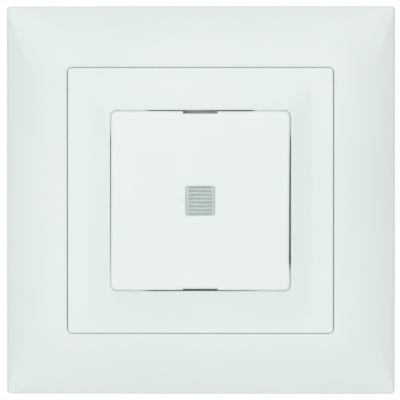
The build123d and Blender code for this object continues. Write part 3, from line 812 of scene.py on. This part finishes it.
def push_button():
    hole_half = lens_half + lens_play
    inner_half = button_half - button_wall
    flange_half = lens_flange + lens_play
    boss_half = lens_flange + lens_boss_wall
    mouth_z = button_z - lens_mouth_round
    mouth = arc(hole_half + lens_mouth_round, mouth_z, lens_mouth_round, 180, 90, 3)
    edge = arc(button_half - button_round, button_z - button_round, button_round, 90, 0, 7)
    profile = [(hole_half, button_under_z, lens_corner), (hole_half, mouth_z, lens_corner)]
    profile += [(half, z, lens_corner) for half, z in mouth[1:]]
    profile += [(half, button_z, corner) for half, corner in button_face_rings]
    profile += [(half, z, button_corner, cap_edge) for half, z in edge]
    side_rows = (button_z - 2 * button_round, *button_side_rows, button_back_z + hidden_ease)
    profile += [(button_half, z, button_corner, undercut) for z in side_rows]
    profile += [
        (button_half - hidden_ease, button_back_z, button_corner, undercut),
        (inner_half, button_back_z, button_inner_corner),
        (inner_half, button_under_z, button_inner_corner),
        (boss_half, button_under_z, button_inner_corner),
        (boss_half, lens_low_z, button_inner_corner),
        (flange_half, lens_low_z, lens_flange_corner),
        (flange_half, button_under_z, lens_flange_corner),
    ]
    parts = [skin(profile, BUTTON_STATIONS)]
    for x in (-1, 1):
        for y, degrees in ((-1, 180), (1, 0)):
            parts.append(moved(cap_pad(), pad_x * x, pad_y * y))
            parts += [moved(part, leg_x * x, turn=about(degrees)) for part in cap_leg()]
    piece("push_button_cap", joined(parts), "push_button")


def cap_pad():
    """A stub under the cap that presses on the slider."""
    top_z = button_under_z + overlap
    rim = [(pad_radius - edge_ease, pad_low_z), (pad_radius, pad_low_z + edge_ease)]
    return turned([(0, pad_low_z), *rim, (pad_radius, top_z), (0, top_z)], sides=24)


def cap_leg():
    """A snap leg and its barb."""
    width = (-leg_half, leg_half)
    leg = slab(width, leg_y, (leg_low_z, button_under_z + overlap), edge_ease)
    return leg, slab(width, barb_y, (leg_low_z, barb_top_z), edge_ease)


# Geometry node trees
NUMBER = "NodeSocketFloat"
COUNT = "NodeSocketInt"
FINISH = "NodeSocketMaterial"


def geometry_tree(name, inputs, build):
    """A tree with named inputs. build() gets the graph and the inputs, and returns the geometry."""
    tree = bpy.data.node_groups.new(name, "GeometryNodeTree")
    tree.interface.new_socket("Geometry", in_out="OUTPUT", socket_type="NodeSocketGeometry")
    for label, kind in inputs.items():
        tree.interface.new_socket(label, in_out="INPUT", socket_type=kind)
    graph = Graph(tree)
    source = tree.nodes.new("NodeGroupInput")
    named = {label: Wire(graph, source.outputs[label]) for label in inputs}
    whole = build(graph, named)
    whole = graph.node("GeometryNodeRealizeInstances", None, {"Geometry": whole})
    finished = {"Geometry": whole, "Material": named["Finish"]}
    whole = graph.node("GeometryNodeSetMaterial", None, finished)
    graph.node("NodeGroupOutput", None, {"Geometry": whole})
    return tree


def grown(tree, values):
    """The plain mesh that a tree makes from these inputs."""
    items = tree.interface.items_tree
    sockets = {item.name: item.identifier for item in items if item.in_out == "INPUT"}

    def modify(carrier):
        modifier = carrier.modifiers.new("nodes", "NODES")
        modifier.node_group = tree
        for label, value in values.items():
            modifier[sockets[label]] = value

    return joined([evaluated(bpy.data.meshes.new("empty"), modify)])


def lens_ribs_tree():
    """Rounded bars across the lens, one above the other, with their flat sides up."""

    def build(graph, named):
        size = {"Start Angle": 0.0, "Sweep Angle": math.pi, "Resolution": 12, "Radius": 1.0}
        bow = graph.node("GeometryNodeCurveArc", {"mode": "RADIUS"}, size)
        cyclic = {"Geometry": bow, "Cyclic": True}
        closed = graph.node("GeometryNodeSetSplineCyclic", None, cyclic)
        flat = graph.vector(named["Width"] * 0.5, named["Height"], 1.0)
        shaped = graph.node("GeometryNodeTransform", None, {"Geometry": closed, "Scale": flat})
        ends = {"Start": graph.vector(named["Length"] * -0.5)}
        ends["End"] = graph.vector(named["Length"] * 0.5)
        line = graph.node("GeometryNodeCurvePrimitiveLine", None, ends)
        sweep = {"Curve": line, "Profile Curve": shaped, "Fill Caps": True}
        bar = graph.node("GeometryNodeCurveToMesh", None, sweep)
        row = {"Count": named["Count"], "Offset": graph.vector(y=named["Pitch"])}
        row["Start Location"] = graph.vector(y=(named["Count"] - 1) * named["Pitch"] * -0.5)
        points = graph.node("GeometryNodeMeshLine", {"mode": "OFFSET"}, row)
        bars = {"Points": points, "Instance": bar}
        return graph.node("GeometryNodeInstanceOnPoints", None, bars)

    inputs = {"Pitch": NUMBER, "Width": NUMBER, "Height": NUMBER, "Length": NUMBER}
    inputs.update({"Count": COUNT, "Finish": FINISH})
    return geometry_tree("lens_ribs", inputs, build)


def coil_tree():
    """A wound spring up the z axis, its end turns drawn nearly closed."""
    closing = 0.55

    def build(graph, named):
        values = {"Resolution": 28, "Rotations": named["Turns"], "Height": named["Height"]}
        values.update({"Start Radius": named["Radius"], "End Radius": named["Radius"]})
        spiral = graph.node("GeometryNodeCurveSpiral", None, values)
        share = graph.node("GeometryNodeSplineParameter", output="Factor")
        ease = graph.math("SINE", share * (2 * math.pi)) * (-closing / (2 * math.pi))
        lifted = {"Geometry": spiral, "Offset": graph.vector(z=ease * named["Height"])}
        eased = graph.node("GeometryNodeSetPosition", None, lifted)
        round_wire = {"Resolution": 10, "Radius": named["Wire"]}
        section = graph.node("GeometryNodeCurvePrimitiveCircle", {"mode": "RADIUS"}, round_wire)
        sweep = {"Curve": eased, "Profile Curve": section, "Fill Caps": True}
        return graph.node("GeometryNodeCurveToMesh", None, sweep)

    inputs = {"Turns": NUMBER, "Height": NUMBER, "Radius": NUMBER, "Wire": NUMBER, "Finish": FINISH}
    return geometry_tree("coil", inputs, build)


def thread_tree():
    """A threaded shank up the z axis: one closed rod whose radius follows the helix."""
    whole_turns = 40.0
    crest_width = 1.25

    def build(graph, named):
        values = {"Vertices": 40, "Side Segments": named["Rows"], "Fill Segments": 1}
        values.update({"Radius": 1.0, "Depth": named["Length"]})
        rod = graph.node("GeometryNodeMeshCylinder", None, values)
        place = graph.node("GeometryNodeInputPosition")
        across = graph.across(place)
        angle = graph.math("ARCTAN2", across.other("Y"), across) / (2 * math.pi)
        height = across.other("Z")
        phase = graph.math("FRACT", height / named["Pitch"] - angle + whole_turns)
        ridge = 1 - graph.math("ABSOLUTE", phase * 2 - 1)
        ridge = graph.math("MINIMUM", ridge * crest_width, 1.0)
        to_end = named["Length"] * 0.5 - graph.math("ABSOLUTE", height)
        lead_in = graph.math("MINIMUM", to_end / named["Pitch"], 1.0)
        radius = named["Radius"] - named["Depth"] * (1 - ridge * lead_in)
        swell = {0: place, 1: graph.vector(radius, radius, 1.0)}
        swelled = graph.node("ShaderNodeVectorMath", {"operation": "MULTIPLY"}, swell)
        return graph.node("GeometryNodeSetPosition", None, {"Geometry": rod, "Position": swelled})

    inputs = {"Radius": NUMBER, "Depth": NUMBER, "Pitch": NUMBER, "Length": NUMBER}
    inputs.update({"Rows": COUNT, "Finish": FINISH})
    return geometry_tree("thread", inputs, build)


LENS_RIBS = lens_ribs_tree()
COIL = coil_tree()
THREAD = thread_tree()


# Lens
def button_lens():
    """A block with a shallow pocket full of ribs, on the flange that holds it behind the cap."""
    side = (-lens_half, lens_half)
    block = slab(side, side, (lens_low_z, lens_z), lens_round)
    pocket_x = rib_half_length + rib_play
    pocket_y = rib_count * rib_pitch / 2
    seat_z = lens_z - rib_height
    pocket = slab((-pocket_x, pocket_x), (-pocket_y, pocket_y), (seat_z, lens_z + cutter_past))
    side = (-lens_flange, lens_flange)
    flange = slab(side, side, (lens_low_z + edge_ease, button_under_z), edge_ease)
    values = {"Pitch": rib_pitch, "Width": rib_pitch * rib_share, "Height": rib_height - rib_sink}
    values.update({"Length": 2 * rib_half_length, "Count": rib_count})
    values["Finish"] = FINISHES["lens_plastic"]
    ribs = moved(grown(LENS_RIBS, values), z=seat_z - rib_sink, turn=about(180, "X"))
    piece("button_lens_window", joined([cut(block, pocket), flange, ribs]), "button_lens")


# Springs. The ends of a spring's axis are in metres.
SPRING_TURNS = 7.0


def coil(name, node, wire, rides=True):
    """A wound spring in a node's place, and the ends of its axis in the shared frame."""
    x_low, x_high, y_low, y_high, z_low, z_high = reach(node)
    middle = ((x_low + x_high) / 2, (y_low + y_high) / 2)
    values = {"Turns": SPRING_TURNS, "Wire": wire, "Radius": (x_high - x_low) / 2 - wire}
    values.update({"Height": z_high - z_low - 2 * wire, "Finish": FINISHES["spring_steel"]})
    made = piece(name, moved(grown(COIL, values), *middle, z_low + wire), node, rides=rides)
    seat, top = [WALL @ Vector((*middle, z)) for z in (z_low, z_high)]
    return made, seat, top


def return_spring(name):
    """The cap's springs, each with a mesh of its own."""
    made, seat, top = coil(f"return_spring_{name}_wound", f"return_spring_{name}", 0.25)
    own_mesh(made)


def contact_spring():
    """This one stands on the housing, carried by no body."""
    made, seat, top = coil("contact_spring_wound", "contact_spring", 0.2, rides=False)
    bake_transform(made)


# Screws and rivets
THREAD_PITCH = 0.5
ROWS_PER_PITCH = 8
SCREW_EASE = 0.03
SCREW_BEVEL_LIMIT = 40


def shank(radius, depth, z_low, z_high):
    length = z_high - z_low
    values = {"Radius": radius, "Depth": depth, "Pitch": THREAD_PITCH, "Length": length}
    values["Rows"] = round(ROWS_PER_PITCH * length / THREAD_PITCH)
    values["Finish"] = FINISHES["screw_steel"]
    return moved(grown(THREAD, values), z=(z_low + z_high) / 2)


def head(radius, z_low, z_high, slot, slot_depth, cross):
    """A pan head with a slot, and a cross recess too if asked."""
    shoulder, crown, flat, cross_arm = 0.45, 0.62, 0.3, 0.55
    cross_deeper = 0.15
    shoulder_z = z_low + shoulder * (z_high - z_low)
    profile = [(0, z_low), (radius - edge_ease, z_low), (radius, z_low + edge_ease)]
    profile.append((radius, shoulder_z))
    for angle in between(10, 80, 6):
        rise = math.radians(angle)
        out = radius - crown * radius * (1 - math.cos(rise))
        profile.append((out, shoulder_z + (z_high - shoulder_z) * math.sin(rise)))
    profile += [(flat * radius, z_high), (0, z_high)]
    slot_width = (-slot / 2, slot / 2)
    past = radius + cutter_past
    slot_z = z_high - slot_depth
    slot_cutter = slab((-past, past), slot_width, (slot_z, z_high + cutter_past))
    mesh = cut(turned(profile, sides=56), slot_cutter)
    if cross:
        arm = cross_arm * radius
        recess = (slot_z - cross_deeper, z_high + cutter_past)
        mesh = cut(mesh, slab(slot_width, (-arm, arm), recess))
    return bevelled(mesh, SCREW_EASE, SCREW_BEVEL_LIMIT)


def claw_screw(side, name):
    screw_x, head_height, turn = 24.5, 2.0, 35
    z_low, z_high = reach(f"claw_screw_{name}")[4:]
    neck_z = z_high - head_height
    top = head(2.5, neck_z, z_high, slot=0.8, slot_depth=1.0, cross=True)
    screw = joined([top, shank(1.5, 0.3, z_low, neck_z + overlap)])
    mesh = moved(screw, side * screw_x, turn=about(turn * side))
    piece(f"claw_screw_{name}_threaded", mesh, f"claw_screw_{name}")


def base_screws():
    """The housing's two screws, put in from behind and left at different turns."""
    screw_x, head_height, head_overlap = 12.8, 1.3, 0.1
    z_low, z_high = reach("base_screws")[4:]
    parts = []
    for side, turn in ((-1, -30), (1, 70)):
        top = head(1.9, 0.0, head_height, slot=0.6, slot_depth=0.8, cross=False)
        moved(top, z=z_low + head_height, turn=about(180, "X"))
        body = shank(0.9, 0.2, z_low + head_height - head_overlap, z_high)
        parts.append(moved(joined([top, body]), side * screw_x, turn=about(turn)))
    piece("base_screws_threaded", joined(parts), "base_screws")


def ring_rivets():
    """Four tubular rivets, rolled over on the front."""
    rivet_x, rivet_y = 14.0, 19.5
    back_head = [(0, -3.2), (1.5, -3.2), (1.8, -3.1), (1.9, -2.85), (1.85, -2.5), (1.2, -2.5)]
    roll = [(1.2, 1.2), (1.9, 1.2), (1.9, 1.4), (1.75, 1.7), (1.4, 1.9), (1.0, 1.85), (0.7, 1.6)]
    bore = [(0.65, 0.4), (0, 0.3)]
    places = [(x, y) for x in (-rivet_x, rivet_x) for y in (-rivet_y, rivet_y)]
    parts = [moved(turned(back_head + roll + bore, sides=36), x, y) for x, y in places]
    piece("ring_rivets_rolled", joined(parts), "ring_rivets")


# Pieces whose CAD shape is right: a copy gets small rounds on its edges, of these millimetres
EASED = {
    "support_ring": 0.15,
    "housing_base": 0.25,
    "housing_cover": 0.15,
    "actuator": 0.15,
    "claw_left": 0.1,
    "claw_right": 0.1,
    "claw_nut_left": 0.15,
    "claw_nut_right": 0.15,
    "claw_pin_left": 0.1,
    "claw_pin_right": 0.1,
    "release_key_top": 0.12,
    "release_key_bottom": 0.12,
    "live_rail": 0.08,
    "switched_rail": 0.08,
    "neutral_rail": 0.08,
    "contact_lever": 0.08,
    "lamp_holder": 0.1,
}
MERGE_DISTANCE = 1e-6
FLAT_LIMIT = math.radians(0.4)
EASED_BEVEL_LIMIT = 32


def eased(node, width):
    """A copy of a node, with its flat faces merged and its hard edges rounded."""
    shape = bmesh.new()
    shape.from_mesh(frame["nodes"][node].data)
    bmesh.ops.remove_doubles(shape, verts=shape.verts, dist=MERGE_DISTANCE)
    bmesh.ops.dissolve_limit(
        shape, angle_limit=FLAT_LIMIT, verts=shape.verts, edges=shape.edges, delimit={"NORMAL"}
    )
    mesh = bevelled(to_mesh(shape), MM * width, EASED_BEVEL_LIMIT)
    piece(node + "_eased", mesh, node, drawn=False)


# The pieces, and then the finish of each node that keeps its CAD shape
cover_frame()
centre_plate()
push_button()
button_lens()
contact_spring()
for side, name in ((-1, "left"), (1, "right")):
    return_spring(name)
    claw_screw(side, name)
base_screws()
ring_rivets()
for node, width in EASED.items():
    eased(node, width)
for node, carried in frame["nodes"].items():
    if not carried.hide_render:
        carried.data.materials.clear()
        carried.data.materials.append(FINISHES[SLOTS[node]])


# Studio. Lengths are in metres, angles in degrees and the shift in pixels of the photograph.
FLOOR_Z = -0.095
FLOOR_RADIUS = 0.6
FLOOR_FADE = ((0.45, 0.0), (0.98, 1.0))
FLOOR_GREY = 0.93
CAMERA_DISTANCE = 1.2
CAMERA_TURN = 1.0
CAMERA_RISE = 1.25
CAMERA_SHIFT = (-0.75, 0.14)
CAMERA_SENSOR = 36.0
CAMERA_SIGHT = 50.0
PHOTO_WIDTH = 400
PIXELS_PER_MM = 4.8173


def floor():
    bpy.ops.mesh.primitive_circle_add(
        vertices=96, radius=FLOOR_RADIUS, fill_type="NGON", location=(0, 0, FLOOR_Z)
    )
    made = bpy.context.object
    made.name = "studio_floor"
    material = bpy.data.materials.new("studio_floor")
    material.use_nodes = True
    graph = Graph(material.node_tree)
    material.node_tree.nodes.clear()
    length = {0: graph.node("ShaderNodeTexCoord", output="Object")}
    distance = graph.node("ShaderNodeVectorMath", {"operation": "LENGTH"}, length, output="Value")
    fade = graph.ramp(distance / FLOOR_RADIUS, *FLOOR_FADE)
    grey = colour(FLOOR_GREY, FLOOR_GREY, FLOOR_GREY)
    pale = graph.node("ShaderNodeBsdfDiffuse", None, {"Color": grey})
    clear = graph.node("ShaderNodeBsdfTransparent")
    surface = graph.node("ShaderNodeMixShader", None, {0: fade, 1: pale, 2: clear})
    graph.node("ShaderNodeOutputMaterial", None, {"Surface": surface})
    made.data.materials.append(material)


def world(strength, narrow):
    """Light all round, weaker from the sides, seen as white by the camera, by gloss and through
    glass."""
    made = bpy.data.worlds.new("studio")
    bpy.context.scene.world = made
    made.use_nodes = True
    graph = Graph(made.node_tree)
    made.node_tree.nodes.clear()
    path = graph.node("ShaderNodeLightPath")
    seen = graph.math("MAXIMUM", path, path.other("Is Glossy Ray"))
    seen = graph.math("MAXIMUM", seen, path.other("Is Transmission Ray"))
    across = graph.across(graph.node("ShaderNodeTexCoord"))
    lighting = strength * (1 - narrow * across * across)
    values = {"Color": colour(1, 1, 1), "Strength": graph.math("MAXIMUM", seen, lighting)}
    background = graph.node("ShaderNodeBackground", None, values)
    graph.node("ShaderNodeOutputWorld", None, {"Surface": background})


def lamp(name, place, width, power):
    """A square soft box that looks at the object."""
    data = bpy.data.lights.new(name, "AREA")
    data.shape = "RECTANGLE"
    data.size = width
    data.size_y = width
    data.energy = power
    made = bpy.data.objects.new(name, data)
    made.location = place
    made.rotation_mode = "QUATERNION"
    made.rotation_quaternion = (-Vector(place)).to_track_quat("-Z", "Y")
    bpy.context.scene.collection.objects.link(made)


def camera():
    data = bpy.data.cameras.new("camera")
    data.sensor_width = CAMERA_SENSOR
    view_width = PHOTO_WIDTH / PIXELS_PER_MM / MM_PER_METRE
    data.lens = data.sensor_width * CAMERA_DISTANCE / view_width
    data.shift_x, data.shift_y = [shift / PHOTO_WIDTH for shift in CAMERA_SHIFT]
    data.clip_end = CAMERA_SIGHT
    made = bpy.data.objects.new("camera", data)
    turn, rise = math.radians(CAMERA_TURN), math.radians(CAMERA_RISE)
    level_part = math.cos(rise)
    away = Vector((math.sin(turn) * level_part, -math.cos(turn) * level_part, math.sin(rise)))
    target = Vector((0, -MM * rim_z, 0))
    made.location = target + away * CAMERA_DISTANCE
    made.rotation_mode = "QUATERNION"
    made.rotation_quaternion = (-away).to_track_quat("-Z", "Y")
    bpy.context.scene.collection.objects.link(made)
    bpy.context.scene.camera = made


floor()
world(strength=0.99, narrow=1.0)
lamp("soft_box_front", (0.0, -2.2, 0.0), width=1.4, power=3.85)
lamp("soft_box_above", (-0.45, -2.07, 0.7), width=1.4, power=8.7)
lamp("soft_box_back", (-0.5, 1.0, 0.6), width=0.7, power=3.5)
camera()
bpy.context.scene.view_settings.view_transform = "Standard"
